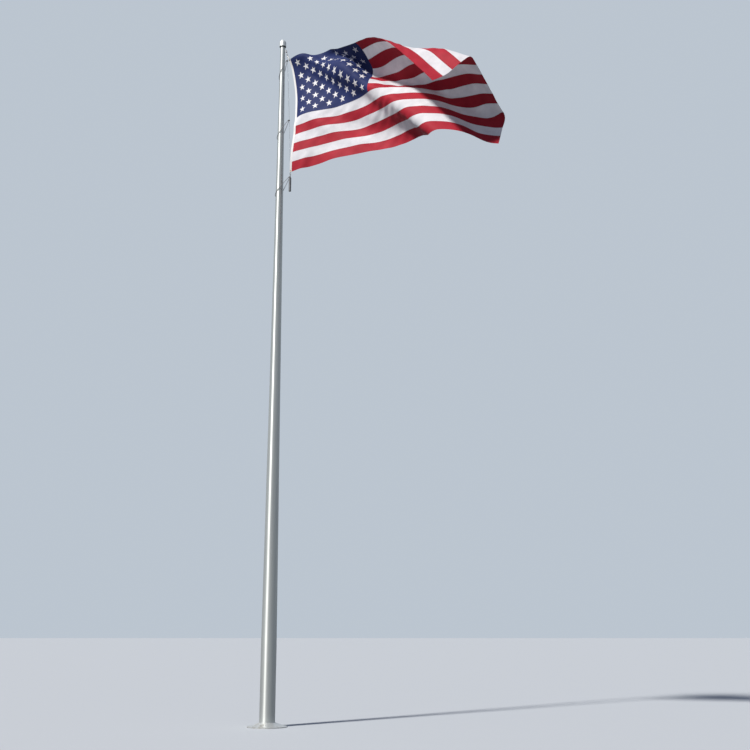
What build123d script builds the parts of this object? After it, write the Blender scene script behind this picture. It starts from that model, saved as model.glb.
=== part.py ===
from build123d import *
import math
import os

os.makedirs("parts", exist_ok=True)

# Flagpole with an internal halyard and a flag flying in the wind.
# The pole stands on the XY plane with its axis on +Z, and the ground is at zero.

# Pole: a cone-tapered aluminium tube with a straight butt
exposed_height = 12192.0
butt_diameter = 254.0
top_diameter = 88.9
straight_butt = 1295.0
pole_wall = 6.35

# Flash collar: a spun disc in two halves that covers the joint with the ground
collar_diameter = 650.0
collar_height = 75.0
collar_lip = 12.0
collar_neck_height = 14.0
collar_sheet = 2.0
collar_fit = 0.4
collar_seam = 1.2
collar_shoulder = 22.0
collar_neck_flare = 10.0
collar_curve_radius = 900.0
collar_seam_azimuth = -131.0

# Door over the winch, at the back
door_azimuth = 61.0
door_centre_height = 1000.0
door_opening_width = 114.0
door_opening_height = 190.0
door_frame_margin = 16.0
door_frame_depth = 5.0
door_gap = 0.8
door_corner = 20.0
door_inset = 1.0
door_sheet = 4.0
lock_diameter = 22.0
lock_length = 16.0
lock_seat = 6.0
lock_gap = 0.3

# Truck: a fixed spindle on the pole and a hood that turns on it
plug_length = 90.0
plug_fit = 0.2
cap_flange_thickness = 8.0
cap_flange_lip = 1.5
spindle_diameter = 30.0
spindle_bore = 14.0
spindle_top = 35.0
bearing_height = 11.0
bearing_diameter = 56.0
bearing_fit = 0.15
bearing_edge = 2.0
nut_flats = 38.0
nut_thickness = 6.0
hood_seat_gap = 0.3
hood_bore_gap = 0.4
web_thickness = 8.0
hood_skirt_diameter = 126.0
hood_top_diameter = 72.0
hood_wall = 4.0
hood_skirt_below = 27.0
hood_straight = 69.0
hood_total = 136.0
hood_curve_radius = 80.0
crown_edge = 6.0
crown_slope = 2.0
sheave_pitch_radius = 25.0
sheave_flange_radius = 28.5
sheave_width = 12.0
sheave_rim = 2.0
sheave_lift = 66.0
groove_gap = 0.3
axle_diameter = 10.0
axle_fit = 0.1
axle_end_gap = 1.0
cheek_radius = 14.0
cheek_thickness = 6.0
cheek_gap = 0.5
fairlead_diameter = 11.0

# Winch behind the door, which takes up the halyard on the pole's axis
winch_height = 1000.0
winch_drum_diameter = 60.0
winch_drum_width = 50.0
winch_flange_diameter = 84.0
winch_flange = 2.0
winch_shaft_diameter = 16.0
winch_plate = 5.0
winch_frame_width = 70.0
winch_frame_height = 150.0
winch_cable_gap = 0.3
wall_gap = 0.3

# Halyard and the fittings that the flag hangs from, as offsets downwind and drops below the pole's top
wind_azimuth = -29.0
cable_diameter = 4.8
halyard_bend_radius = 60.0
halyard_end_offset = 84.0
halyard_end_drop = 157.0
arc_margin = 0.001
stop_diameter = 30.0
stop_length = 58.0
stop_overhang = 14.0
stop_edge = 9.0
eye_wire = 5.0
eye_inner = 14.0
eye_length = 30.0
link_wire = 6.0
link_inner = 18.0
link_length = 40.0
eye_spread = 4.5
touch_gap = 0.3
snap_eye_length = 24.0
snap_shank_diameter = 9.0
snap_cover_diameter = 20.0
snap_cover_start = 36.0
snap_cover_fit = 0.3
snap_hook_inner = 24.0
hook_gap = 0.8

# Sling between the link and the counterweight, its middle below the flag's top corner
sleeve_diameter = 8.0
sleeve_length = 24.0
sling_eye_length = 24.0
sling_middle_offset = 190.0
sling_middle_drop = 1465.0
sling_bend_radius = 4000.0

# Flag: thirteen stripes on a canvas heading, bent by the wind along a few folds
flag_hoist = 2300.0
flag_fly = 4370.0
stripe_count = 13
canton_stripes = 7
canton_fly_share = 0.4
heading_width = 38.0
cloth_thickness = 1.2
heading_thickness = 3.0
seam_gap = 0.8
grommet_inset = 20.0
grommet_bore = 17.0
grommet_wall = 1.5
grommet_flange = 32.0
flange_gap = 0.6
flag_top_drop = 327.0
flag_lee_offset = 176.0
hoist_foot_offset = 256.0
hoist_foot_drop = 2290.0
free_corner_offset = 172.0
free_corner_drop = 361.0
flag_azimuth = -23.3
flag_rise = 3.2
flag_lean = -3.0
heading_bow = 90.0
bow_reach = 1500.0
least_fold_width = 200.0
normal_step = 5.0
surface_tolerance = 0.05
bend_steps = 12
point_spacing = 60.0
heading_spacing = 50.0

# Retainer loops round the pole, held below the flag's top corner, and the clips that hold them
loop_diameter = 450.0
loop_wire = 10.0
loop_clearance = 6.0
clip_pitch = 15.0
clip_rim = 18.0
clip_height = 22.0
clip_thickness = 18.0
clip_corner = 5.0
clip_fit = 0.4
upper_loop_drop = 15.0
middle_loop_drop = 1255.0

# Counterweight below the flag
weight_diameter = 44.0
weight_length = 262.0
weight_offset = 226.0
weight_eye_drop = 35.0
weight_edge = 4.0
stem_diameter = 10.0
stem_length = 30.0

butt_radius = butt_diameter / 2
top_radius = top_diameter / 2
taper_length = exposed_height - straight_butt

# Heights that hang from the pole's top and from the flag's corners
halyard_end_height = exposed_height - halyard_end_drop
flag_top_height = exposed_height - flag_top_drop
sling_middle_height = flag_top_height - sling_middle_drop
weight_eye_height = flag_top_height - flag_hoist - weight_eye_drop


def pole_radius(height):
    """Outer radius of the pole at a height above the ground."""
    rise = max(0.0, height - straight_butt)
    return butt_radius - (butt_radius - top_radius) * rise / taper_length


def lee_point(offset, height, side=0.0):
    """A point at an offset downwind of the pole's axis, at a height."""
    a = math.radians(wind_azimuth)
    x = offset * math.cos(a) + side * math.sin(a)
    y = offset * math.sin(a) - side * math.cos(a)
    return Vector(x, y, height)


lee_direction = lee_point(1, 0).normalized()
lee_side = lee_point(0, 0, 1).normalized()
# The upright plane through the pole's axis that points downwind, seen from the front
lee_plane = Plane(origin=(0, 0, 0), x_dir=lee_direction, z_dir=lee_side)


def finish(part, name):
    """Label one sub-part and write it."""
    part.label = name
    export_step(part, "parts/" + name + ".step")


# Pole shaft, open through its length, with the hole for the door
door_direction = Vector(math.cos(math.radians(door_azimuth)), math.sin(math.radians(door_azimuth)), 0)
door_plane = Plane(origin=(0, 0, door_centre_height), x_dir=(-door_direction.Y, door_direction.X, 0),
                   z_dir=door_direction)

with BuildPart() as pole_shaft:
    with BuildSketch(Plane.XZ):
        with BuildLine():
            Polyline((butt_radius - pole_wall, 0), (butt_radius, 0), (butt_radius, straight_butt),
                     (top_radius, exposed_height), (top_radius - pole_wall, exposed_height),
                     (butt_radius - pole_wall, straight_butt), close=True)
        make_face()
    revolve(axis=Axis.Z)
    with BuildSketch(door_plane):
        RectangleRounded(door_opening_width, door_opening_height, door_corner)
    extrude(amount=butt_diameter, mode=Mode.SUBTRACT)
finish(pole_shaft.part, "pole_shaft")

# Door frame: a ring that lies on the pole round the opening
with BuildPart() as door_frame:
    with BuildSketch(door_plane):
        RectangleRounded(door_opening_width + 2 * door_frame_margin,
                         door_opening_height + 2 * door_frame_margin, door_corner + door_frame_margin)
        RectangleRounded(door_opening_width, door_opening_height, door_corner, mode=Mode.SUBTRACT)
    extrude(amount=butt_diameter)
    with BuildSketch(Plane.XY.offset(door_centre_height - door_opening_height)):
        Circle(butt_radius + door_frame_depth)
    extrude(amount=2 * door_opening_height, mode=Mode.INTERSECT)
    with BuildSketch(Plane.XY.offset(door_centre_height - door_opening_height)):
        Circle(butt_radius)
    extrude(amount=2 * door_opening_height, mode=Mode.SUBTRACT)
finish(door_frame.part, "door_frame")

# Access door: a curved plate that fills the frame
with BuildPart() as access_door:
    with BuildSketch(door_plane):
        RectangleRounded(door_opening_width - 2 * door_gap, door_opening_height - 2 * door_gap,
                         door_corner - door_gap)
    extrude(amount=butt_diameter)
    with BuildSketch(Plane.XY.offset(door_centre_height - door_opening_height)):
        Circle(butt_radius + door_frame_depth - door_inset)
        Circle(butt_radius + door_frame_depth - door_inset - door_sheet, mode=Mode.SUBTRACT)
    extrude(amount=2 * door_opening_height, mode=Mode.INTERSECT)
    with BuildSketch(door_plane):
        with Locations((0, -door_opening_height / 4)):
            Circle(lock_diameter / 2 + lock_gap)
    extrude(amount=butt_diameter, mode=Mode.SUBTRACT)
finish(access_door.part, "access_door")

with BuildPart() as door_lock:
    with BuildSketch(door_plane.offset(butt_radius - lock_seat)):
        with Locations((0, -door_opening_height / 4)):
            Circle(lock_diameter / 2)
    extrude(amount=lock_length)
finish(door_lock.part, "door_lock")

# Flash collar: the section of one half, swept from seam to seam
neck_radius = butt_radius + collar_fit
rim_radius = collar_diameter / 2


def collar_half(start_azimuth):
    """One half of the collar, from one seam round to the other."""
    gap_angle = math.degrees(collar_seam / 2 / neck_radius)
    a = math.radians(start_azimuth + gap_angle)
    section = Plane(origin=(0, 0, 0), x_dir=(math.cos(a), math.sin(a), 0),
                    z_dir=(math.sin(a), -math.cos(a), 0))
    with BuildPart() as half:
        with BuildSketch(section):
            with BuildLine():
                neck_foot_height = collar_height - collar_neck_height
                outer_rim = (rim_radius, 0)
                lip_top = (rim_radius, collar_lip)
                shoulder = (neck_radius + collar_shoulder, neck_foot_height)
                inner_shoulder = (shoulder[0] - collar_sheet, neck_foot_height - collar_sheet)
                inner_lip = (rim_radius - collar_sheet, collar_lip - collar_sheet)
                Line(outer_rim, lip_top)
                RadiusArc(lip_top, shoulder, collar_curve_radius)
                Polyline(shoulder, (neck_radius + collar_sheet, neck_foot_height + collar_neck_flare),
                         (neck_radius + collar_sheet, collar_height), (neck_radius, collar_height),
                         (neck_radius, neck_foot_height + collar_neck_flare - collar_sheet), inner_shoulder)
                RadiusArc(inner_shoulder, inner_lip, -collar_curve_radius)
                Polyline(inner_lip, (rim_radius - collar_sheet, 0), outer_rim)
            make_face()
        revolve(axis=Axis.Z, revolution_arc=180 - 2 * gap_angle)
    return half.part


finish(collar_half(collar_seam_azimuth), "flash_collar_right")
finish(collar_half(collar_seam_azimuth + 180), "flash_collar_left")

# Truck spindle: a plug in the pole's top, a cap flange and a hollow post
plug_radius = pole_radius(exposed_height - plug_length) - pole_wall - plug_fit
plug_top_radius = top_radius - pole_wall - plug_fit
with BuildPart() as truck_spindle:
    with BuildSketch(lee_plane):
        with BuildLine():
            Polyline((spindle_bore / 2, exposed_height - plug_length),
                     (plug_top_radius, exposed_height - plug_length),
                     (plug_top_radius, exposed_height),
                     (top_radius + cap_flange_lip, exposed_height),
                     (top_radius + cap_flange_lip, exposed_height + cap_flange_thickness),
                     (spindle_diameter / 2, exposed_height + cap_flange_thickness),
                     (spindle_diameter / 2, exposed_height + spindle_top),
                     (spindle_bore / 2, exposed_height + spindle_top), close=True)
        make_face()
    revolve(axis=Axis.Z)
finish(truck_spindle.part, "truck_spindle")

axle_length = 2 * (sheave_width / 2 + cheek_gap + cheek_thickness)

# Truck bearing and the nut that keeps the hood down on it
bearing_bottom = exposed_height + cap_flange_thickness
web_bottom = bearing_bottom + bearing_height + hood_seat_gap
web_top = web_bottom + web_thickness
with BuildPart() as truck_bearing:
    with BuildSketch(Plane.XY.offset(bearing_bottom)):
        Circle(bearing_diameter / 2)
        Circle(spindle_diameter / 2 + bearing_fit, mode=Mode.SUBTRACT)
    extrude(amount=bearing_height)
    fillet(truck_bearing.edges().filter_by(GeomType.CIRCLE).group_by(SortBy.RADIUS)[-1], bearing_edge)
finish(truck_bearing.part, "truck_bearing")

with BuildPart() as spindle_nut:
    with BuildSketch(Plane.XY.offset(web_top + hood_seat_gap)):
        RegularPolygon(nut_flats / 2, 6, major_radius=False)
        Circle(spindle_diameter / 2 + plug_fit, mode=Mode.SUBTRACT)
    extrude(amount=nut_thickness)
finish(spindle_nut.part, "spindle_nut")

# Truck hood: a cast shell with a web that turns on the spindle and two cheeks for the sheave
skirt_height = exposed_height - hood_skirt_below
hood_height = skirt_height + hood_total
shoulder_height = skirt_height + hood_straight
skirt_radius = hood_skirt_diameter / 2
crown_radius = hood_top_diameter / 2
sheave_height = exposed_height + sheave_lift

with BuildPart() as hood_cavity:
    with BuildSketch(lee_plane):
        with BuildLine():
            inner_skirt = (skirt_radius - hood_wall, shoulder_height)
            inner_crown = (crown_radius - hood_wall / 2, hood_height - hood_wall - crown_slope)
            Line((0, web_top), (skirt_radius - hood_wall, web_top))
            Line((skirt_radius - hood_wall, web_top), inner_skirt)
            RadiusArc(inner_skirt, inner_crown, -hood_curve_radius)
            Polyline(inner_crown, (0, hood_height - hood_wall), (0, web_top))
        make_face()
    revolve(axis=Axis.Z)
    for side in (-1, 1):
        cheek_face = lee_plane.offset(side * (sheave_width / 2 + cheek_gap))
        with BuildSketch(cheek_face):
            with Locations((sheave_pitch_radius, sheave_height)):
                Circle(cheek_radius)
            with Locations((sheave_pitch_radius, sheave_height)):
                Rectangle(2 * cheek_radius, hood_height - sheave_height, align=(Align.CENTER, Align.MIN))
        extrude(amount=side * cheek_thickness, mode=Mode.SUBTRACT)

with BuildPart() as truck_hood:
    with BuildSketch(lee_plane):
        with BuildLine():
            Polyline((0, web_bottom), (skirt_radius - hood_wall, web_bottom),
                     (skirt_radius - hood_wall, skirt_height), (skirt_radius, skirt_height),
                     (skirt_radius, shoulder_height))
            RadiusArc((skirt_radius, shoulder_height), (crown_radius, hood_height - crown_edge),
                      -hood_curve_radius)
            RadiusArc((crown_radius, hood_height - crown_edge),
                      (crown_radius - crown_edge, hood_height), -crown_edge)
            Polyline((crown_radius - crown_edge, hood_height), (0, hood_height), (0, web_bottom))
        make_face()
    revolve(axis=Axis.Z)
    add(hood_cavity.part, mode=Mode.SUBTRACT)
    with BuildSketch(Plane.XY.offset(web_bottom)):
        Circle(spindle_diameter / 2 + hood_bore_gap)
    extrude(amount=web_thickness, mode=Mode.SUBTRACT)
    with BuildSketch(Plane.XY.offset(web_bottom)):
        with Locations(lee_point(2 * sheave_pitch_radius, 0)):
            Circle(fairlead_diameter / 2)
    extrude(amount=web_thickness, mode=Mode.SUBTRACT)
    with BuildSketch(lee_plane):
        with Locations((sheave_pitch_radius, sheave_height)):
            Circle(axle_diameter / 2 + axle_fit)
    extrude(amount=axle_length / 2, both=True, mode=Mode.SUBTRACT)
finish(truck_hood.part, "truck_hood")

# Sheave: a grooved wheel on its axle inside the hood
with BuildPart() as sheave:
    sheave_axis = Axis(lee_plane.from_local_coords((sheave_pitch_radius, sheave_height, 0)), lee_side)
    with BuildSketch(Plane(origin=sheave_axis.position, x_dir=lee_side, z_dir=(-lee_direction.X,
                                                                               -lee_direction.Y, 0))):
        with BuildLine():
            half_width = sheave_width / 2
            bore_radius = axle_diameter / 2 + axle_fit
            groove_radius = sheave_pitch_radius - cable_diameter / 2 - groove_gap
            groove_lip = (cable_diameter / 2, groove_radius + cable_diameter / 3)
            Polyline((-half_width, bore_radius), (half_width, bore_radius),
                     (half_width, sheave_flange_radius), (half_width - sheave_rim, sheave_flange_radius),
                     groove_lip)
            ThreePointArc(groove_lip, (0, groove_radius), (-groove_lip[0], groove_lip[1]))
            Polyline((-groove_lip[0], groove_lip[1]), (sheave_rim - half_width, sheave_flange_radius),
                     (-half_width, sheave_flange_radius), (-half_width, bore_radius))
        make_face()
    revolve(axis=sheave_axis)
finish(sheave.part, "sheave")

with BuildPart() as sheave_axle:
    with BuildSketch(lee_plane.offset(-axle_length / 2 + axle_end_gap)):
        with Locations((sheave_pitch_radius, sheave_height)):
            Circle(axle_diameter / 2)
    extrude(amount=axle_length - 2 * axle_end_gap)
finish(sheave_axle.part, "sheave_axle")

# Halyard: up the pole's axis from the winch, over the sheave and out under the hood's skirt
halyard_end = (halyard_end_offset, halyard_end_height)
bend_point = (2 * sheave_pitch_radius, skirt_height)
turn_radius = sheave_pitch_radius - arc_margin
with BuildPart() as halyard_cable:
    with BuildLine(lee_plane):
        FilletPolyline((0, winch_height), (0, sheave_height + sheave_pitch_radius),
                       (2 * sheave_pitch_radius, sheave_height + sheave_pitch_radius),
                       bend_point, halyard_end,
                       radius=[turn_radius, turn_radius, halyard_bend_radius])
    with BuildSketch(Plane.XY.offset(winch_height)):
        Circle(cable_diameter / 2)
    sweep()
finish(halyard_cable.part, "halyard_cable")

# Winch drum and frame, fixed to the pole's wall across from the door
drum_offset = -(winch_drum_diameter / 2 + cable_diameter / 2 + winch_cable_gap)
with BuildPart() as winch_drum:
    drum_plane = Plane(origin=door_direction * drum_offset + Vector(0, 0, winch_height),
                       x_dir=door_direction, z_dir=door_plane.x_dir)
    with BuildSketch(drum_plane):
        Circle(winch_drum_diameter / 2)
    extrude(amount=winch_drum_width / 2, both=True)
    for side in (-1, 1):
        with BuildSketch(drum_plane.offset(side * winch_drum_width / 2)):
            Circle(winch_flange_diameter / 2)
        extrude(amount=side * winch_flange)
    with BuildSketch(drum_plane):
        Circle(winch_shaft_diameter / 2)
    extrude(amount=winch_frame_width / 2, both=True)
finish(winch_drum.part, "winch_drum")

back_offset = math.sqrt((butt_radius - pole_wall) ** 2 - (winch_frame_width / 2) ** 2) - wall_gap
with BuildPart() as winch_frame:
    frame_plane = Plane(origin=door_direction * -back_offset + Vector(0, 0, winch_height),
                        x_dir=door_plane.x_dir, z_dir=door_direction)
    with BuildSketch(frame_plane):
        Rectangle(winch_frame_width, winch_frame_height)
    extrude(amount=winch_plate)
    with BuildSketch(frame_plane):
        for side in (-1, 1):
            with Locations((side * (winch_frame_width - winch_plate) / 2, 0)):
                Rectangle(winch_plate, winch_frame_height)
    extrude(amount=back_offset + drum_offset + winch_frame_width / 4)
    with BuildSketch(drum_plane):
        Circle(winch_shaft_diameter / 2 + plug_fit)
    extrude(amount=winch_frame_width, both=True, mode=Mode.SUBTRACT)
finish(winch_frame.part, "winch_frame")


def ring(centre, across, wire, facing):
    """A closed ring of round wire: its centre, its inner diameter and the way that it faces."""
    middle_radius = (across + wire) / 2
    face = Plane(origin=centre, z_dir=facing)
    with BuildPart() as made:
        with BuildSketch(Plane(origin=face.from_local_coords((middle_radius, 0)), x_dir=face.x_dir,
                               z_dir=face.y_dir)):
            Circle(wire / 2)
        revolve(axis=Axis(centre, facing))
    return made.part


def oval(start, end, inner_width, wire, facing):
    """A closed oval of round wire whose middle line runs from start to end and back."""
    along = end - start
    half = (inner_width + wire) / 2
    face = Plane(origin=start, x_dir=along, z_dir=facing)
    with BuildPart() as made:
        with BuildLine(face):
            Line((half, -half), (along.length - half, -half))
            ThreePointArc((along.length - half, -half), (along.length, 0), (along.length - half, half))
            Line((along.length - half, half), (half, half))
            ThreePointArc((half, half), (0, 0), (half, -half))
        with BuildSketch(Plane(origin=face.from_local_coords((half, -half)), z_dir=along)):
            Circle(wire / 2)
        sweep()
    return made.part


def rod(start, end, diameter):
    """A straight round rod between two points."""
    with BuildPart() as made:
        with BuildSketch(Plane(origin=start, z_dir=end - start)):
            Circle(diameter / 2)
        extrude(amount=(end - start).length)
    return made.part


# Flag: the flat cloth swells in a few soft billows and is then bent along its folds,
# from the fly end back to the heading. A billow is its centre, as shares of fly and hoist,
# the direction of its ridge, its two half lengths and its height. A fold is a line on the
# flat flag between two points, as shares of fly and hoist, the angle that the cloth above
# the line turns towards the front, and the width of the bend at the line's two ends.
flag_billows = (
    ((0.32, 0.126), -129.0, 1800.0, 370.0, 100.0),
    ((0.977, 0.962), 114.0, 1060.0, 363.0, -100.0),
    ((0.123, 0.133), -45.0, 1800.0, 543.0, -99.0),
)
flag_folds = (
    ((0.545, 0.0), (1.0, 0.303), 100.8, 1400.0, 330.0),
    ((0.0, -0.204), (1.212, 1.0), 100.0, 795.0, 330.0),
    ((0.0, -0.11), (0.76, 1.0), -114.1, 488.0, 330.0),
    ((0.0, -0.086), (0.554, 1.0), 82.8, 1900.0, 774.0),
)


def billowed(out, down):
    """How far the cloth swells towards the front at a point of the flat flag."""
    height = 0.0
    for centre, ridge_angle, half_length, half_width, swell in flag_billows:
        from_x, from_y = out - centre[0] * flag_fly, centre[1] * flag_hoist - down
        ridge = math.radians(ridge_angle)
        along = (from_x * math.cos(ridge) + from_y * math.sin(ridge)) / half_length
        across = (from_y * math.cos(ridge) - from_x * math.sin(ridge)) / half_width
        height += swell * math.exp(-along * along - across * across)
    return height


def turned(turn, share):
    """How far a fold has turned at a share of its width."""
    return turn * (share - math.sin(2 * math.pi * share) / (2 * math.pi))


def bend(point, fold):
    """Turn a point of the cloth about one fold, whose bend begins and ends without a sudden change."""
    start, end, turn, start_width, end_width = fold
    along_x = (end[0] - start[0]) * flag_fly
    along_y = (start[1] - end[1]) * flag_hoist
    length = math.hypot(along_x, along_y)
    along_x, along_y = along_x / length, along_y / length
    from_x, from_y = point[0] - start[0] * flag_fly, point[1] + start[1] * flag_hoist
    along = from_x * along_x + from_y * along_y
    across = from_y * along_x - from_x * along_y
    width = max(least_fold_width, start_width + (end_width - start_width) * along / length)
    into_bend = min(1.0, max(0.0, across / width + 0.5))
    step = into_bend / bend_steps
    before = min(across, -width / 2)
    rise = 0.0
    for number in range(bend_steps):
        angle = turned(math.radians(turn), (number + 0.5) * step)
        before += width * step * math.cos(angle)
        rise += width * step * math.sin(angle)
    angle = turned(math.radians(turn), into_bend)
    beyond = max(0.0, across - width / 2)
    across = before + beyond * math.cos(angle) - point[2] * math.sin(angle)
    rise += beyond * math.sin(angle) + point[2] * math.cos(angle)
    return (start[0] * flag_fly + along * along_x - across * along_y,
            -start[1] * flag_hoist + along * along_y + across * along_x, rise)


def free_cloth(out, down):
    """Where a point of the flag would fly if nothing held its hoist in line."""
    point = (out, -down, billowed(out, down))
    for fold in flag_folds:
        point = bend(point, fold)
    head = math.radians(flag_azimuth)
    rise = math.radians(flag_rise)
    lean = math.radians(flag_lean)
    flat = Vector(math.cos(head), math.sin(head), 0)
    towards_view = Vector(math.sin(head), -math.cos(head), 0)
    fly_axis = flat * math.cos(rise) + Vector(0, 0, 1) * math.sin(rise)
    upright = Vector(0, 0, 1) * math.cos(rise) - flat * math.sin(rise)
    hoist_axis = upright * math.cos(lean) + towards_view * math.sin(lean)
    face_axis = towards_view * math.cos(lean) - upright * math.sin(lean)
    bow = heading_bow * math.sin(math.pi * down / flag_hoist) * math.exp(-abs(out) / bow_reach)
    corner = lee_point(free_corner_offset, exposed_height - free_corner_drop)
    return corner + fly_axis * point[0] + hoist_axis * point[1] + face_axis * point[2] + flat * bow


top_pull = lee_point(flag_lee_offset, flag_top_height) - free_cloth(0, 0)
foot_pull = (lee_point(hoist_foot_offset, flag_top_height - hoist_foot_drop)
             - free_cloth(0, flag_hoist))


def cloth(out, down):
    """Where a point of the flag flies, from its distance out from the hoist and down from the top."""
    share = down / flag_hoist
    held = math.exp(-abs(out) / bow_reach)
    return free_cloth(out, down) + (top_pull * (1 - share) + foot_pull * share) * held


def cloth_normal(out, down):
    """The way that the front of the cloth faces at a point of the flag."""
    along_fly = cloth(out + normal_step, down) - cloth(out - normal_step, down)
    along_hoist = cloth(out, down - normal_step) - cloth(out, down + normal_step)
    return along_fly.cross(along_hoist).normalized()


def spaced(start, end, spacing):
    """Places from a start to an end, about evenly spaced."""
    steps = max(3, round((end - start) / spacing))
    return [start + (end - start) * number / steps for number in range(steps + 1)]


def cloth_piece(outs, downs, thickness):
    """One sewn piece of the flag: two faces that follow the folds, closed along the four edges."""

    def side(lift):
        points = [[cloth(out, down) + cloth_normal(out, down) * lift for down in downs] for out in outs]
        return Face.make_surface_from_array_of_points(points, tol=surface_tolerance, min_deg=3)

    front = side(thickness / 2)
    back = side(-thickness / 2)
    faces = [front, back]
    for edge in front.edges():
        partner = back.edges().sort_by_distance(edge.center())[0]
        faces.append(Face.make_surface_from_curves(edge, partner))
    return Solid(Shell(faces))


stripe_height = flag_hoist / stripe_count
canton_length = canton_fly_share * flag_fly
canton_height = canton_stripes * stripe_height
half_seam = seam_gap / 2


# Neighbouring pieces take their points at the same places, so that their seams follow each other
fly_outs = spaced(canton_length + half_seam, flag_fly, point_spacing)
canton_outs = spaced(half_seam, canton_length - half_seam, point_spacing)


def stripe_downs(number):
    """The places across one stripe, counted from the top."""
    top = number * stripe_height
    return spaced(top + half_seam, top + stripe_height - half_seam, stripe_height / 3)


def stripe(number):
    """One stripe: the upper ones start at the canton, the lower at the heading."""
    outs = fly_outs if number < canton_stripes else canton_outs[:-1] + fly_outs
    return cloth_piece(outs, stripe_downs(number), cloth_thickness)


with BuildPart() as flag_red_stripes:
    add([stripe(number) for number in range(0, stripe_count, 2)])
finish(flag_red_stripes.part, "flag_red_stripes")

with BuildPart() as flag_white_stripes:
    add([stripe(number) for number in range(1, stripe_count, 2)])
finish(flag_white_stripes.part, "flag_white_stripes")

with BuildPart() as flag_canton:
    canton_downs = [down for number in range(canton_stripes) for down in stripe_downs(number)]
    add(cloth_piece(canton_outs, canton_downs, cloth_thickness))
finish(flag_canton.part, "flag_canton")

# Heading: the canvas strip along the hoist, with a hole near each end for its grommet
grommet_out = -heading_width / 2
grommet_downs = (grommet_inset, flag_hoist - grommet_inset)
barrel_radius = grommet_bore / 2 + grommet_wall


def grommet_plane(down):
    """The plane of the heading at a grommet."""
    return Plane(origin=cloth(grommet_out, down), x_dir=cloth(0, down) - cloth(grommet_out, down),
                 z_dir=cloth_normal(grommet_out, down))


with BuildPart() as flag_heading:
    add(cloth_piece(spaced(-heading_width, -half_seam, heading_width / 3),
                    spaced(0, flag_hoist, heading_spacing), heading_thickness))
    for down in grommet_downs:
        with BuildSketch(grommet_plane(down)):
            Circle(barrel_radius + touch_gap)
        extrude(amount=heading_width, both=True, mode=Mode.SUBTRACT)
finish(flag_heading.part, "flag_heading")

# Grommets: a barrel through the canvas with a flange on each face
half_barrel = heading_thickness / 2 + flange_gap + grommet_wall
with BuildPart() as heading_grommets:
    for down in grommet_downs:
        with BuildSketch(grommet_plane(down).offset(-half_barrel)):
            Circle(grommet_flange / 2)
        extrude(amount=grommet_wall)
        with BuildSketch(grommet_plane(down).offset(half_barrel - grommet_wall)):
            Circle(grommet_flange / 2)
        extrude(amount=grommet_wall)
        with BuildSketch(grommet_plane(down)):
            Circle(barrel_radius)
        extrude(amount=half_barrel, both=True)
        with BuildSketch(grommet_plane(down)):
            Circle(grommet_bore / 2)
        extrude(amount=2 * half_barrel, both=True, mode=Mode.SUBTRACT)
finish(heading_grommets.part, "heading_grommets")

# Stop at the halyard's end: a rounded sleeve on the cable with an eye below it
halyard_end_point = lee_point(halyard_end_offset, halyard_end_height)
last_run = (halyard_end_point - lee_point(*bend_point)).normalized()
stop_start = halyard_end_point - last_run * (stop_length - stop_overhang)
with BuildPart() as halyard_stop:
    with BuildSketch(Plane(origin=stop_start, z_dir=last_run)):
        Circle(stop_diameter / 2)
    extrude(amount=stop_length)
    fillet(halyard_stop.edges(), stop_edge)
    with BuildSketch(Plane(origin=stop_start, z_dir=last_run)):
        Circle(cable_diameter / 2 + plug_fit)
    extrude(amount=stop_length - stop_overhang + plug_fit, mode=Mode.SUBTRACT)
    eye_start = halyard_end_point + last_run * (stop_overhang - eye_wire)
    add(oval(eye_start, eye_start + last_run * eye_length, eye_inner, eye_wire, lee_side))
finish(halyard_stop.part, "halyard_stop")

# Link under the stop: the eyes of the snap and of the sling sit side by side in its lower end
touch = (eye_wire + link_wire) / 2 + touch_gap
inner_radius = link_inner / 2 - eye_wire / 2 - 3 * touch_gap
pair_touch = touch + inner_radius - math.sqrt(inner_radius ** 2 - eye_spread ** 2)

upper_grommet = grommet_plane(grommet_downs[0]).origin
lower_grommet = grommet_plane(grommet_downs[1]).origin
upper_eye_end = eye_start + last_run * eye_length
upper_run = (upper_grommet - upper_eye_end).normalized()
upper_link_start = upper_eye_end - upper_run * touch
upper_link_end = upper_link_start + upper_run * link_length
finish(oval(upper_link_start, upper_link_end, link_inner, link_wire, upper_run.cross(lee_side)), "upper_link")

# The weight's own eye takes the same two eyes side by side
weight_eye_top = lee_point(weight_offset, weight_eye_height)
weight_eye_bottom = weight_eye_top - Vector(0, 0, link_length)


def snap(eye_point, grommet, normal, name):
    """A snap hook from an eye in a link to a grommet, which its hook goes straight through."""
    along = grommet - eye_point
    in_heading = (along - normal * along.dot(normal)).normalized()
    hook_radius = (snap_hook_inner + eye_wire) / 2
    hook_centre = grommet - in_heading * (hook_radius + (grommet_bore - eye_wire) / 2 - hook_gap)
    run = (hook_centre - eye_point).normalized()
    eye_end = eye_point + run * snap_eye_length
    hook_start = hook_centre - run * hook_radius
    with BuildPart() as hook:
        add(oval(eye_point, eye_end, link_inner, eye_wire, lee_side))
        add(rod(eye_end, hook_start, snap_shank_diameter))
        add(ring(hook_centre, snap_hook_inner, eye_wire, in_heading.cross(normal)))
    finish(hook.part, name)
    return run, hook_start


upper_snap_eye = upper_link_end - upper_run * pair_touch + lee_side * eye_spread
lower_snap_eye = weight_eye_top - Vector(0, 0, pair_touch) + lee_side * eye_spread
upper_snap_run, upper_hook_start = snap(upper_snap_eye, upper_grommet,
                                        cloth_normal(grommet_out, grommet_downs[0]), "upper_snap")
snap(lower_snap_eye, lower_grommet, cloth_normal(grommet_out, grommet_downs[1]), "lower_snap")

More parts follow.
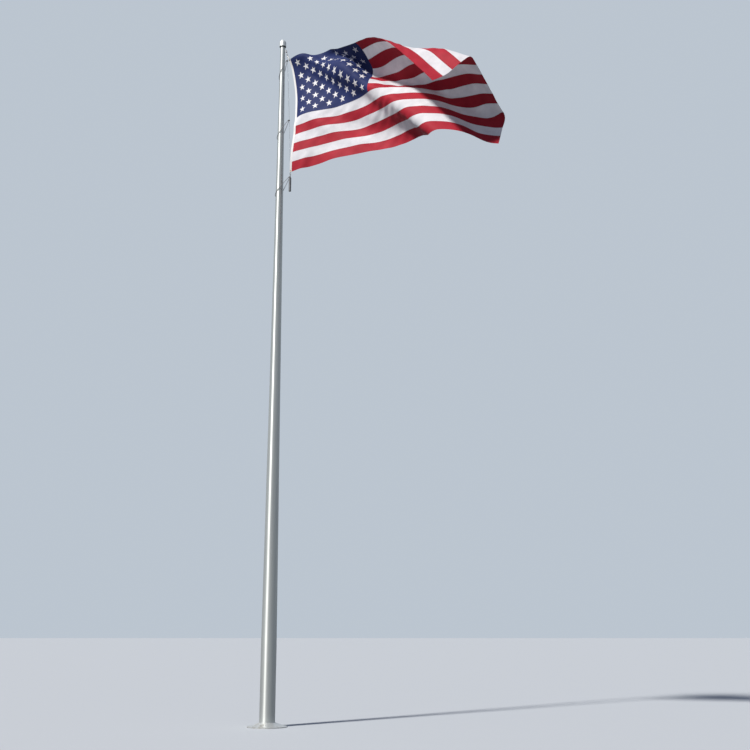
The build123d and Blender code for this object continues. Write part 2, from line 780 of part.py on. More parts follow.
# Snap cover: the white sleeve over the upper snap's shank
cover_from = upper_snap_eye + upper_snap_run * snap_cover_start
cover_length = (upper_hook_start - cover_from).length - eye_wire / 2 - touch_gap
with BuildPart() as snap_cover:
    with BuildSketch(Plane(origin=cover_from, z_dir=upper_snap_run)):
        Circle(snap_cover_diameter / 2)
        Circle(snap_shank_diameter / 2 + snap_cover_fit, mode=Mode.SUBTRACT)
    extrude(amount=cover_length)
finish(snap_cover.part, "snap_cover")

# Sling: the cable from the upper link to the lower one, with an eye at each end
sling_top = upper_link_end - upper_run * pair_touch - lee_side * eye_spread
sling_bottom = weight_eye_top - Vector(0, 0, pair_touch) - lee_side * eye_spread
sling_middle = lee_point(sling_middle_offset, sling_middle_height, -eye_spread)
first_run = (sling_middle - sling_top).normalized()
second_run = (sling_bottom - sling_middle).normalized()
sling_from = sling_top + first_run * (sling_eye_length + sleeve_length / 2)
sling_to = sling_bottom - second_run * (sling_eye_length + sleeve_length / 2)
with BuildPart() as sling_cable:
    with BuildLine():
        FilletPolyline(sling_from, sling_middle, sling_to, radius=sling_bend_radius)
    with BuildSketch(Plane(origin=sling_from, z_dir=first_run)):
        Circle(cable_diameter / 2)
    sweep()
finish(sling_cable.part, "sling_cable")

with BuildPart() as sling_ends:
    for eye_point, run in ((sling_top, first_run), (sling_bottom, -second_run)):
        eye_base = eye_point + run * sling_eye_length
        add(oval(eye_point, eye_base, eye_inner, eye_wire, lee_side))
        add(rod(eye_base, eye_base + run * sleeve_length, sleeve_diameter))
    with BuildLine():
        FilletPolyline(sling_from, sling_middle, sling_to, radius=sling_bend_radius)
    with BuildSketch(Plane(origin=sling_from, z_dir=first_run)):
        Circle(cable_diameter / 2 + plug_fit)
    sweep(mode=Mode.SUBTRACT)
finish(sling_ends.part, "sling_ends")


# Retainer loops: stiff hoops round the pole, held on the downwind side and hanging aslant
def retainer_loop(offset, height, name):
    """One hoop, from its hold downwind down to where it rides on the far side of the pole."""
    hold = lee_point(offset, height)
    ride_offset = pole_radius(height - loop_diameter) + loop_clearance + loop_wire / 2
    drop = math.sqrt(loop_diameter ** 2 - (offset + ride_offset) ** 2)
    ride = lee_point(-ride_offset, height - drop)
    finish(ring((hold + ride) / 2, loop_diameter - loop_wire, loop_wire, (ride - hold).cross(lee_side)), name)


def loop_clip(loop_hold, stem, stem_direction, stem_diameter, name):
    """The block that holds a loop on the cable or stem that passes through it."""
    middle = (loop_hold + stem) / 2
    with BuildPart() as clip:
        with BuildSketch(Plane(origin=middle - lee_side * clip_thickness / 2, x_dir=lee_direction,
                               z_dir=lee_side)):
            RectangleRounded((stem - loop_hold).length + clip_rim, clip_height, clip_corner)
        extrude(amount=clip_thickness)
        with BuildSketch(Plane(origin=loop_hold, z_dir=lee_side)):
            Circle(loop_wire / 2 + clip_fit)
        extrude(amount=clip_thickness, both=True, mode=Mode.SUBTRACT)
        with BuildSketch(Plane(origin=stem, z_dir=stem_direction)):
            Circle(stem_diameter / 2 + clip_fit)
        extrude(amount=2 * clip_height, both=True, mode=Mode.SUBTRACT)
    finish(clip.part, name)


def on_sling(height):
    """Where the sling passes at a height, and which way it runs there."""
    run, start = (first_run, sling_top) if height > sling_middle_height else (second_run, sling_middle)
    return start + run * ((height - start.Z) / run.Z), run


def lee_offset(point):
    """How far downwind of the pole's axis a point lies."""
    return point.dot(lee_direction)


for drop, name in ((upper_loop_drop, "upper"), (middle_loop_drop, "middle")):
    height = flag_top_height - drop
    stem, run = on_sling(height)
    hold_offset = lee_offset(stem) - clip_pitch
    retainer_loop(hold_offset, height, name + "_retainer_loop")
    loop_clip(lee_point(hold_offset, height), stem, run, cable_diameter, name + "_loop_clip")

# Counterweight: a round bar on a stem with an eye
stem_top = weight_eye_bottom
weight_top = stem_top - Vector(0, 0, stem_length)
with BuildPart() as counterweight:
    add(oval(weight_eye_top, weight_eye_bottom, link_inner, link_wire, lee_direction))
    add(rod(stem_top, weight_top - Vector(0, 0, weight_edge), stem_diameter))
    with BuildSketch(Plane(origin=weight_top)):
        Circle(weight_diameter / 2)
    extrude(amount=-weight_length)
    bar_rims = counterweight.edges().filter_by(GeomType.CIRCLE).filter_by(
        lambda edge: edge.radius > stem_diameter)
    fillet(bar_rims, weight_edge)
finish(counterweight.part, "counterweight")

lower_stem = (stem_top + weight_top) / 2
lower_hold_offset = lee_offset(lower_stem) - clip_pitch - stem_diameter / 2
retainer_loop(lower_hold_offset, lower_stem.Z, "lower_retainer_loop")
loop_clip(lee_point(lower_hold_offset, lower_stem.Z), lower_stem, Vector(0, 0, 1), stem_diameter,
          "lower_loop_clip")
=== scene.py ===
# Flagpole with an internal halyard, a revolving truck and a striped flag that flies in the wind.
# Everything is in metres, with the pole's foot at the origin and +Z up the pole.
import math
from functools import partial

import bpy
import numpy as np
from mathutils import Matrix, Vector


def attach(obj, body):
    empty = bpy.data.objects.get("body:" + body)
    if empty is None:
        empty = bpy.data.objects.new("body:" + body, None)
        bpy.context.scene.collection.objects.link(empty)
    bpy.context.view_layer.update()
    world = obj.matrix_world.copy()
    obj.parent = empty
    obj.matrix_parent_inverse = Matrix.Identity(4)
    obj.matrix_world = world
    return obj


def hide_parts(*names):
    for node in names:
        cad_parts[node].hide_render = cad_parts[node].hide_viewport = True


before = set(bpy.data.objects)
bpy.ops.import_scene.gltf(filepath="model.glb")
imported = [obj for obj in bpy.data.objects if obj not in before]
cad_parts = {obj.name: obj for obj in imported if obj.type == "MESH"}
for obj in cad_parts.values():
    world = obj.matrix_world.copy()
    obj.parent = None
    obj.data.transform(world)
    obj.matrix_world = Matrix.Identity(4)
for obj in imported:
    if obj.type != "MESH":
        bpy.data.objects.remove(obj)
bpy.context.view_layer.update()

# Camera: a person's eye level, well back from the pole and a little to its right, tilted up
camera_place = (1.734, -17.55, 1.536)
camera_tilt = 13.7
camera_lens = 49.92
camera = bpy.data.objects.new("camera", bpy.data.cameras.new("camera"))
camera.location = camera_place
camera.rotation_euler = (math.radians(90 + camera_tilt), 0, 0)
camera.data.lens = camera_lens
camera.data.sensor_width = 36
camera.data.clip_end = 300
bpy.context.collection.objects.link(camera)
bpy.context.scene.camera = camera


# Pole shaft: one spun, cone-tapered aluminium tube, brushed fine round its girth and clear anodised.
# Rain has left faint streaks down it, and the brushing shows as hair-fine rings.
def metal(name, colour, roughness, metallic=1.0):
    """Start a finish, of metal where nothing else is said: its material, its node tools and its shader."""
    material = bpy.data.materials.new(name)
    material.use_nodes = True
    nodes, links = material.node_tree.nodes, material.node_tree.links
    shader = nodes["Principled BSDF"]
    shader.inputs["Base Color"].default_value = (*colour, 1)
    shader.inputs["Metallic"].default_value = metallic
    shader.inputs["Roughness"].default_value = roughness
    return material, nodes, links, shader


def grain(nodes, links, scale, detail, stretch=(1, 1, 1)):
    """A noise in the piece's own coordinates, drawn out along one way."""
    place = nodes.new("ShaderNodeTexCoord")
    squeeze = nodes.new("ShaderNodeMapping")
    squeeze.inputs["Scale"].default_value = stretch
    noise = nodes.new("ShaderNodeTexNoise")
    noise.inputs["Scale"].default_value = scale
    noise.inputs["Detail"].default_value = detail
    links.new(place.outputs["Object"], squeeze.inputs["Vector"])
    links.new(squeeze.outputs["Vector"], noise.inputs["Vector"])
    return noise.outputs["Fac"]


def spread(nodes, links, source, low, high, start=0.3, end=0.7):
    """Turn a noise into a number between two values."""
    spreader = nodes.new("ShaderNodeMapRange")
    spreader.inputs["From Min"].default_value = start
    spreader.inputs["From Max"].default_value = end
    spreader.inputs["To Min"].default_value = low
    spreader.inputs["To Max"].default_value = high
    links.new(source, spreader.inputs["Value"])
    return spreader.outputs["Result"]


def tint(nodes, links, source, low, high, start=0.3, end=0.7):
    """Turn a noise into a colour between two colours."""
    ramp = nodes.new("ShaderNodeValToRGB")
    ramp.color_ramp.elements[0].position = start
    ramp.color_ramp.elements[0].color = (*low, 1)
    ramp.color_ramp.elements[1].position = end
    ramp.color_ramp.elements[1].color = (*high, 1)
    links.new(source, ramp.inputs["Fac"])
    return ramp.outputs["Color"]


def relief(nodes, links, shader, source, height, strength=1.0):
    """Raise a surface by a noise, height in metres."""
    bump = nodes.new("ShaderNodeBump")
    bump.inputs["Distance"].default_value = height
    bump.inputs["Strength"].default_value = strength
    links.new(source, bump.inputs["Height"])
    links.new(bump.outputs["Normal"], shader.inputs["Normal"])


def finish_nodes(material, *pieces):
    """Give pieces that come from the frame their finish."""
    for name in pieces:
        piece = bpy.data.objects[name]
        piece.data.materials.clear()
        piece.data.materials.append(material)


def brushed_round(nodes, links, shader, strength):
    """Fine marks round the girth, which draw a highlight out up and down the piece."""
    girth = nodes.new("ShaderNodeTangent")
    girth.direction_type = "RADIAL"
    girth.axis = "Z"
    links.new(girth.outputs["Tangent"], shader.inputs["Tangent"])
    shader.inputs["Anisotropic"].default_value = strength
    shader.inputs["Anisotropic Rotation"].default_value = 0.25


pole_finish, nodes, links, shader = metal("pole_finish", (0.56, 0.58, 0.57), 0.5, 0.72)
brushed_round(nodes, links, shader, 0.75)
streaks = grain(nodes, links, 3.0, 6, (6, 6, 0.25))
brushing = grain(nodes, links, 40.0, 3, (1, 1, 30))
links.new(spread(nodes, links, brushing, 0.44, 0.54), shader.inputs["Roughness"])
relief(nodes, links, shader, brushing, 0.0002, 0.35)

# Under the hood the tube darkens with painted shade, the shadow of the hood's skirt, from the first of these
# heights to the second.
shade_band_foot, shade_band_top = 12.130, 12.158
shade_band_most = 0.9
place = nodes.new("ShaderNodeTexCoord")
height = nodes.new("ShaderNodeSeparateXYZ")
links.new(place.outputs["Object"], height.inputs["Vector"])
# Painted shade: the near-black mixed in here stands for the skirt's shadow on the tube below the hood.
shade_band = nodes.new("ShaderNodeMix")
shade_band.data_type = "RGBA"
shade_band.inputs["B"].default_value = (0.03, 0.03, 0.035, 1)
links.new(spread(nodes, links, height.outputs["Z"], 0.0, shade_band_most, shade_band_foot, shade_band_top),
          shade_band.inputs["Factor"])
links.new(tint(nodes, links, streaks, (0.50, 0.52, 0.51), (0.60, 0.62, 0.60)), shade_band.inputs["A"])
links.new(shade_band.outputs["Result"], shader.inputs["Base Color"])
finish_nodes(pole_finish, "pole_shaft", "door_frame", "access_door")


# Door: it and its frame have the pole's own finish, and its lock is a stainless cylinder.
lock_finish, nodes, links, shader = metal("lock_finish", (0.56, 0.55, 0.53), 0.28)
turning = grain(nodes, links, 900.0, 2)
links.new(spread(nodes, links, turning, 0.22, 0.38), shader.inputs["Roughness"])
finish_nodes(lock_finish, "door_lock")


# Flash collar: spun from aluminium sheet in two halves, duller than the pole.
# Spinning leaves rings, and splashed soil has dulled its lip.
collar_finish, nodes, links, shader = metal("collar_finish", (0.56, 0.57, 0.56), 0.5, 0.7)
place = nodes.new("ShaderNodeTexCoord")
rings = nodes.new("ShaderNodeTexWave")
rings.wave_type = "RINGS"
rings.rings_direction = "Z"
rings.inputs["Scale"].default_value = 60.0
rings.inputs["Distortion"].default_value = 1.5
links.new(place.outputs["Object"], rings.inputs["Vector"])
soil = grain(nodes, links, 9.0, 7)
links.new(tint(nodes, links, soil, (0.42, 0.41, 0.38), (0.66, 0.67, 0.66), 0.34, 0.52),
          shader.inputs["Base Color"])
links.new(spread(nodes, links, soil, 0.62, 0.36, 0.34, 0.6), shader.inputs["Roughness"])
relief(nodes, links, shader, rings.outputs["Fac"], 0.0003, 0.5)
finish_nodes(collar_finish, "flash_collar_left", "flash_collar_right")


# Truck: a cast aluminium hood over a turned spindle, tumbled to a soft satin.
# Rain and cable wear have left the casting a little darker in its pores.
cast_finish, nodes, links, shader = metal("cast_finish", (0.62, 0.64, 0.64), 0.5, 0.55)
pores = grain(nodes, links, 220.0, 5)
stains = grain(nodes, links, 14.0, 6, (1, 1, 0.4))
links.new(tint(nodes, links, stains, (0.54, 0.56, 0.56), (0.66, 0.68, 0.68)), shader.inputs["Base Color"])
links.new(spread(nodes, links, pores, 0.44, 0.58), shader.inputs["Roughness"])
relief(nodes, links, shader, pores, 0.0004, 0.5)
finish_nodes(cast_finish, "truck_hood", "truck_spindle")


def weathered(name, colour, roughness, metallic, noise, tones, roughs, raised=None, span=(0.3, 0.7)):
    """A finish whose colour, roughness and, where it is raised, height all follow one noise."""
    material, nodes, links, shader = metal(name, colour, roughness, metallic)
    source = grain(nodes, links, *noise)
    links.new(tint(nodes, links, source, *tones, *span), shader.inputs["Base Color"])
    links.new(spread(nodes, links, source, *roughs), shader.inputs["Roughness"])
    if raised:
        relief(nodes, links, shader, source, *raised)
    return material


# The bearing, nut, axle and winch inside are plain turned steel.
steel_finish = weathered("steel_finish", (0.52, 0.52, 0.51), 0.34, 1.0, noise=(300.0, 4),
                         tones=((0.44, 0.43, 0.42), (0.56, 0.56, 0.55)), roughs=(0.26, 0.46))
finish_nodes(steel_finish, "truck_bearing", "spindle_nut", "sheave_axle", "winch_drum", "winch_frame")

# The sheave is cast nylon, creamy white and slightly waxy.
sheave_finish = weathered("sheave_finish", (0.74, 0.72, 0.64), 0.42, 0.0, noise=(160.0, 4),
                          tones=((0.66, 0.63, 0.55), (0.78, 0.76, 0.69)), roughs=(0.36, 0.5))
finish_nodes(sheave_finish, "sheave")


# Halyard and sling: stainless wire rope, dull grey, coloured darker in bands that follow its lay.
# The halyard runs up inside the pole, over the sheave and down the lee side to the stop.
rope_finish, nodes, links, shader = metal("rope_finish", (0.30, 0.31, 0.32), 0.42)
place = nodes.new("ShaderNodeTexCoord")
lay = nodes.new("ShaderNodeTexWave")
lay.bands_direction = "DIAGONAL"
lay.inputs["Scale"].default_value = 130.0
links.new(place.outputs["Object"], lay.inputs["Vector"])
links.new(tint(nodes, links, lay.outputs["Fac"], (0.10, 0.10, 0.10), (0.42, 0.43, 0.44), 0.1, 0.6),
          shader.inputs["Base Color"])
relief(nodes, links, shader, lay.outputs["Fac"], 0.0012, 0.9)
finish_nodes(rope_finish, "halyard_cable")
wind_azimuth = math.radians(-29.0)
strand_lay = 0.03
strand_sides = 6


def lee_point(offset, height, side=0.0):
    """A point at an offset downwind of the pole's axis, and to one side of it."""
    return np.array([offset * math.cos(wind_azimuth) + side * math.sin(wind_azimuth),
                     offset * math.sin(wind_azimuth) - side * math.cos(wind_azimuth), height])


def laid_line(name, path, radius, strands, groove, material, closed):
    """A line laid up of round strands that turn about its path, as one mesh on the truck."""
    path = np.asarray(path)
    if closed:
        run = np.roll(path, -1, axis=0) - np.roll(path, 1, axis=0)
        steps = np.linalg.norm(np.roll(path, -1, axis=0) - path, axis=1)
    else:
        run = np.gradient(path, axis=0)
        steps = np.linalg.norm(np.diff(path, axis=0), axis=1)
    run /= np.linalg.norm(run, axis=1, keepdims=True)
    length = steps.sum()
    along = np.concatenate([[0], np.cumsum(steps)])[:len(path)] / length
    twist = 2 * math.pi * round(length / strand_lay) * along
    first_side = np.cross(run, np.cross(path[-1] - path[0], path[len(path) // 3] - path[0]) if closed
                          else (math.sin(wind_azimuth), -math.cos(wind_azimuth), 0))
    first_side /= np.linalg.norm(first_side, axis=1, keepdims=True)
    second_side = np.cross(run, first_side)
    around = np.arange(strands * strand_sides) / (strands * strand_sides) * 2 * math.pi
    reach = radius * (1 - groove * (0.5 - 0.5 * np.cos(strands * around)) ** 2)
    angle = around[None, :] + twist[:, None]
    points = (path[:, None] + reach[None, :, None] * (np.cos(angle)[..., None] * first_side[:, None]
                                                      + np.sin(angle)[..., None] * second_side[:, None]))
    rings, sides = points.shape[:2]
    faces = []
    for ring in range(rings if closed else rings - 1):
        here, after = ring * sides, (ring + 1) % rings * sides
        for side in range(sides):
            following = (side + 1) % sides
            faces.append((here + side, here + following, after + following, after + side))
    if not closed:
        faces.append(tuple(range(sides - 1, -1, -1)))
        faces.append(tuple(range((rings - 1) * sides, rings * sides)))
    mesh = bpy.data.meshes.new(name)
    mesh.from_pydata([tuple(point) for point in points.reshape(-1, 3)], [], faces)
    mesh.materials.append(material)
    mesh.polygons.foreach_set("use_smooth", [True] * len(mesh.polygons))
    piece = bpy.data.objects.new(name, mesh)
    bpy.context.collection.objects.link(piece)
    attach(piece, "truck")
    return piece


# The sling is taut from the upper snap to the weight's eye, and its six strands are laid up round a core.
sling_points = ((0.0957, -0.0460, 11.9373), (0.1684, -0.0882, 10.4), (0.1986, -0.1049, 9.5579))
sling_radius = 0.0024
sling_rings = 640
sling_heights = np.linspace(sling_points[0][2], sling_points[-1][2], sling_rings)
sling_path = np.stack([np.interp(-sling_heights, [-point[2] for point in sling_points],
                                 [point[axis] for point in sling_points]) for axis in range(3)], -1)
sling = laid_line("sling", sling_path, sling_radius, strands=6, groove=0.3,
                  material=rope_finish, closed=False)
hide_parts("sling_cable")

# The stop is a moulded grey rubber bung, a little chalky from the sun.
stop_finish = weathered("stop_finish", (0.42, 0.43, 0.44), 0.6, 0.0, noise=(90.0, 6),
                        tones=((0.34, 0.35, 0.36), (0.52, 0.53, 0.54)), roughs=(0.5, 0.72),
                        raised=(0.0003, 0.6))
finish_nodes(stop_finish, "halyard_stop")

# The link, snaps and cable ends are stainless wire and castings, dulled by weather.
fitting_finish = weathered("fitting_finish", (0.40, 0.40, 0.40), 0.4, 1.0, noise=(260.0, 5),
                           tones=((0.28, 0.28, 0.28), (0.50, 0.50, 0.49)), roughs=(0.28, 0.5),
                           raised=(0.0002, 0.5))
finish_nodes(fitting_finish, "upper_link", "upper_snap", "lower_snap", "sling_ends")

# The snap's cover is a white vinyl sleeve, with dust on it.
cover_finish = weathered("cover_finish", (0.78, 0.78, 0.77), 0.45, 0.0, noise=(120.0, 5),
                         tones=((0.68, 0.68, 0.66), (0.84, 0.84, 0.83)), roughs=(0.38, 0.55),
                         raised=(0.0002, 0.4))
finish_nodes(cover_finish, "snap_cover")


# Retainer loops: cable in a grey vinyl cover that has crazed in the weather, each in a black moulded clip.
# Each is drawn into a long slanting drop, from the clip down round the far side of the pole.
def taut_belt(points):
    """The corners of a belt drawn tight round a flat set of points, in order and closed."""
    points = sorted(points)
    belt = []
    for ordered in (points, points[::-1]):
        run = []
        for point in ordered:
            while len(run) > 1 and ((run[-1][0] - run[-2][0]) * (point[1] - run[-2][1])
                                    <= (run[-1][1] - run[-2][1]) * (point[0] - run[-2][0])):
                run.pop()
            run.append(point)
        belt += run[:-1]
    return np.array(belt + belt[:1])


loop_finish = weathered("loop_finish", (0.30, 0.30, 0.31), 0.5, 0.0, noise=(170.0, 7),
                        tones=((0.20, 0.20, 0.21), (0.40, 0.40, 0.41)), roughs=(0.42, 0.66),
                        raised=(0.0003, 0.6))

# Each loop's name, how far downwind and how high its clip holds it, and how far it drops from there.
# Above its straight butt the pole loses a metre of radius in the taper's height.
loops = (("upper", 0.0958, 11.85, 0.35), ("middle", 0.1635, 10.61, 0.33), ("lower", 0.206, 9.475, 0.32))
butt_radius = 0.127
straight_butt = 1.295
taper_height = 132
loop_radius = 0.005
loop_gap = 0.004
loop_rings = 360
turn_steps = 400
clip_turn = 0.018
for name, hold_offset, hold_height, drop in loops:
    pole_radius = butt_radius - max(0.0, hold_height - drop / 2 - straight_butt) / taper_height
    round_pole = pole_radius + loop_radius + loop_gap
    slope = math.atan2(drop, hold_offset + round_pole)
    turns = np.linspace(0, 2 * math.pi, turn_steps, endpoint=False)
    at_clip = [(clip_turn + clip_turn * math.cos(turn), clip_turn * math.sin(turn)) for turn in turns]
    at_pole = [((hold_offset + round_pole * math.cos(turn)) / math.cos(slope), round_pole * math.sin(turn))
               for turn in turns]
    belt = taut_belt(at_clip + at_pole)
    walked = np.concatenate([[0], np.cumsum(np.linalg.norm(np.diff(belt, axis=0), axis=1))])
    places = np.linspace(0, walked[-1], loop_rings + 1)[:-1]
    downhill, aside = np.interp(places, walked, belt[:, 0]), np.interp(places, walked, belt[:, 1])
    path = [lee_point(hold_offset - far * math.cos(slope), hold_height - far * math.sin(slope), side)
            for far, side in zip(downhill, aside)]
    loop = laid_line(name + "_loop", path, loop_radius, strands=3, groove=0.28,
                     material=loop_finish, closed=True)
    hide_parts(name + "_retainer_loop")


clip_finish = weathered("clip_finish", (0.035, 0.035, 0.04), 0.45, 0.0, noise=(400.0, 4),
                        tones=((0.025, 0.025, 0.028), (0.06, 0.06, 0.065)), roughs=(0.36, 0.58),
                        raised=(0.0002, 0.6))
finish_nodes(clip_finish, "upper_loop_clip", "middle_loop_clip", "lower_loop_clip")


# Counterweight: a steel bar dipped in grey vinyl, scuffed where it knocks on the pole.
weight_finish = weathered("weight_finish", (0.12, 0.125, 0.135), 0.5, 0.0, noise=(60.0, 8, (1, 1, 0.3)),
                          tones=((0.09, 0.095, 0.105), (0.20, 0.21, 0.22)), span=(0.45, 0.68),
                          roughs=(0.42, 0.62), raised=(0.0004, 0.5))
finish_nodes(weight_finish, "counterweight")


# Grommets: rolled brass eyelets, gone dull.
brass_finish = weathered("brass_finish", (0.50, 0.36, 0.16), 0.38, 1.0, noise=(200.0, 6),
                         tones=((0.30, 0.21, 0.10), (0.60, 0.44, 0.20)), roughs=(0.28, 0.55))
finish_nodes(brass_finish, "heading_grommets")


# Flag: nylon bunting, thirteen stripes sewn edge to edge with a canton sewn in, flying in a fresh wind.
# It is one sheet here: the flat cloth swells in billows and ripples and is then bent along its folds.
flag_hoist = 2.3
flag_fly = 4.37
stripe_count = 13
canton_stripes = 7
stripe_height = flag_hoist / stripe_count
canton_fly = 0.4 * flag_fly
canton_hoist = canton_stripes * stripe_height
pole_height = 12.192
flag_azimuth = math.radians(-23.3)
flag_rise = math.radians(3.2)
flag_lean = math.radians(-3.0)
heading_bow = 0.09
bow_reach = 1.5
bend_steps = 12
least_fold_width = 0.2
crinkle_height = 0.0045

# Corners of the hoist, by how far downwind of the pole's axis and how far below its top they are:
# where the loose cloth starts, and where the upper and the lower snap hold it
loose_corner, upper_corner, lower_corner = (0.172, 0.361), (0.176, 0.327), (0.256, 2.617)

# Billows: middle as shares of the fly and the hoist, ridge's angle, half length, half width and height
flag_billows = (
    ((0.299, 0.129), -126.8, 2.59, 0.512, 0.136),
    ((1.013, 1.024), 123.7, 0.64, 0.359, -0.142),
    ((0.127, 0.129), -55.1, 1.99, 0.457, -0.111),
)
# Folds: start and end as shares of the fly and the hoist, turn in degrees, width at the start and the end
flag_folds = (
    ((0.528, 0.000), (1.000, 0.313), 91.4, 1.442, 0.177),
    ((0.0, -0.157), (1.202, 1.000), 97.7, 0.541, 0.179),
    ((0.0, -0.097), (0.746, 1.000), -112.2, 0.614, 0.276),
    ((0.000, -0.104), (0.555, 1.000), 83.5, 2.940, 0.833),
)
# Smaller ripples, in the same form as the billows
flag_ripples = (
    ((0.010, 0.524), 84.7, 1.49, 0.361, 0.090),
    ((0.114, 0.608), 112.8, 1.50, 0.284, 0.044),
    ((0.352, 0.254), -29.6, 1.18, 0.133, -0.041),
    ((0.220, 0.939), 72.6, 1.22, 0.245, 0.036),
    ((0.110, -0.040), 60.7, 0.78, 0.136, -0.025),
    ((0.371, 0.434), -16.8, 0.96, 0.328, -0.052),
    ((0.907, 0.916), 133.2, 1.11, 0.157, -0.044),
    ((0.883, 0.436), 113.0, 0.72, 0.346, -0.085),
    ((0.253, 0.839), -38.0, 1.29, 0.154, 0.046),
    ((0.717, 0.755), -45.1, 1.39, 0.373, 0.087),
    ((0.195, 1.042), -25.7, 1.50, 0.440, 0.085),
    ((0.856, 0.104), 2.2, 1.41, 0.254, 0.078),
    ((0.005, 0.594), 45.6, 0.22, 0.080, 0.024),
    ((0.041, 1.013), 62.6, 0.59, 0.095, 0.023),
    ((0.224, 0.652), 50.4, 0.58, 0.183, 0.022),
    ((0.306, 0.609), -38.6, 0.49, 0.224, 0.034),
    ((0.299, 0.966), 61.9, 1.50, 0.212, 0.028),
    ((0.440, 0.636), -48.7, 0.96, 0.136, 0.041),
    ((0.373, 0.709), -26.5, 0.65, 0.157, 0.045),
    ((0.516, 0.538), -8.7, 0.74, 0.089, 0.027),
    ((0.807, 0.559), -26.5, 0.94, 0.150, 0.036),
    ((0.545, 0.340), 8.2, 0.81, 0.214, 0.026),
    ((0.103, 0.008), -0.1, 0.48, 0.108, 0.033),
    ((0.240, 0.071), -67.5, 0.81, 0.199, 0.037),
    ((0.183, 0.333), -38.4, 0.34, 0.078, -0.023),
    ((0.073, 0.019), -37.1, 0.51, 0.169, 0.032),
)


def swell(out, down, swells):
    """How far a set of swells raises the flat cloth towards the front."""
    height = np.zeros_like(out)
    for centre, ridge_angle, half_length, half_width, rise in swells:
        from_x, from_y = out - centre[0] * flag_fly, centre[1] * flag_hoist - down
        ridge = math.radians(ridge_angle)
        along = (from_x * math.cos(ridge) + from_y * math.sin(ridge)) / half_length
        across = (from_y * math.cos(ridge) - from_x * math.sin(ridge)) / half_width
        height = height + rise * np.exp(-along ** 2 - across ** 2)
    return height


def crinkle(out, down):
    """Fine creases: a fan from the upper corner of the hoist, and slanting puckers over the stripes."""
    fan_count, fan_reach, slant_angle, slant_count, ease_width = 34, 0.9, math.radians(52), 33, 0.25
    reach, bearing = np.hypot(out, down), np.arctan2(down, out + 1e-9)
    fan = np.sin(bearing * fan_count + 1.4 * np.sin(bearing * 9)) * reach * np.exp(-(reach / fan_reach) ** 2)
    slant = out * math.cos(slant_angle) + down * math.sin(slant_angle)
    pucker = np.sin(slant * slant_count + 1.6 * np.sin(out * 2.3 + 1) + 1.1 * np.sin(down * 4.1))
    patches = 0.5 + 0.5 * np.sin(out * 3.4 + 2.2 * np.sin(down * 2.9)) * np.sin(down * 5.2 + 1.3 * out)
    ease = 1 - np.exp(-(out / ease_width) ** 2)
    return crinkle_height * ease * (1.5 * fan + pucker * patches ** 1.5)


def bend(x, y, z, fold):
    """Turn the cloth about one fold, whose bend begins and ends without a sudden change."""
    start, end, turn, start_width, end_width = fold
    along_x, along_y = (end[0] - start[0]) * flag_fly, (start[1] - end[1]) * flag_hoist
    length = math.hypot(along_x, along_y)
    along_x, along_y = along_x / length, along_y / length
    from_x, from_y = x - start[0] * flag_fly, y + start[1] * flag_hoist
    along = from_x * along_x + from_y * along_y
    across = from_y * along_x - from_x * along_y
    width = np.maximum(least_fold_width, start_width + (end_width - start_width) * along / length)
    into_bend = np.clip(across / width + 0.5, 0, 1)

    def turned(share):
        return math.radians(turn) * (share - np.sin(2 * math.pi * share) / (2 * math.pi))

    before, rise = np.minimum(across, -width / 2), 0.0
    for number in range(bend_steps):
        angle = turned((number + 0.5) / bend_steps * into_bend)
        before = before + width * into_bend / bend_steps * np.cos(angle)
        rise = rise + width * into_bend / bend_steps * np.sin(angle)
    angle = turned(into_bend)
    beyond = np.maximum(0, across - width / 2)
    across = before + beyond * np.cos(angle) - z * np.sin(angle)
    rise = rise + beyond * np.sin(angle) + z * np.cos(angle)
    return (start[0] * flag_fly + along * along_x - across * along_y,
            -start[1] * flag_hoist + along * along_y + across * along_x, rise)


def at_hoist(corner):
    """A corner of the hoist, from how far downwind and how far below the pole's top it is."""
    return lee_point(corner[0], pole_height - corner[1])


def free_cloth(out, down):
    """Where points of the flag would fly if nothing held the hoist in line."""
    x, y, z = out, -down, swell(out, down, flag_billows) + swell(out, down, flag_ripples) + crinkle(out, down)
    for fold in flag_folds:
        x, y, z = bend(x, y, z, fold)
    upward = np.array([0, 0, 1.0])
    flat = np.array([math.cos(flag_azimuth), math.sin(flag_azimuth), 0])
    towards_view = np.array([math.sin(flag_azimuth), -math.cos(flag_azimuth), 0])
    fly_axis = flat * math.cos(flag_rise) + upward * math.sin(flag_rise)
    upright = upward * math.cos(flag_rise) - flat * math.sin(flag_rise)
    hoist_axis = upright * math.cos(flag_lean) + towards_view * math.sin(flag_lean)
    face_axis = towards_view * math.cos(flag_lean) - upright * math.sin(flag_lean)
    bow = heading_bow * np.sin(math.pi * down / flag_hoist) * np.exp(-np.abs(out) / bow_reach)
    return (at_hoist(loose_corner) + x[..., None] * fly_axis + y[..., None] * hoist_axis
            + z[..., None] * face_axis + bow[..., None] * flat)


top_pull = at_hoist(upper_corner) - free_cloth(np.array(0.0), np.array(0.0))
foot_pull = at_hoist(lower_corner) - free_cloth(np.array(0.0), np.array(flag_hoist))


def cloth_middle(out, down):
    """Where points of the flag fly, its hoist held in line by the fittings."""
    share = (down / flag_hoist)[..., None]
    held = np.exp(-np.abs(out) / bow_reach)[..., None]
    return free_cloth(out, down) + (top_pull * (1 - share) + foot_pull * share) * held


def cloth(out, down, lift):
    """Points of the flag, lifted off the cloth towards its front."""
    step = 0.004
    along_fly = cloth_middle(out + step, down) - cloth_middle(out - step, down)
    along_hoist = cloth_middle(out, down - step) - cloth_middle(out, down + step)
    normal = np.cross(along_fly, along_hoist)
    normal /= np.linalg.norm(normal, axis=-1, keepdims=True)
    return cloth_middle(out, down) + normal * lift[..., None]


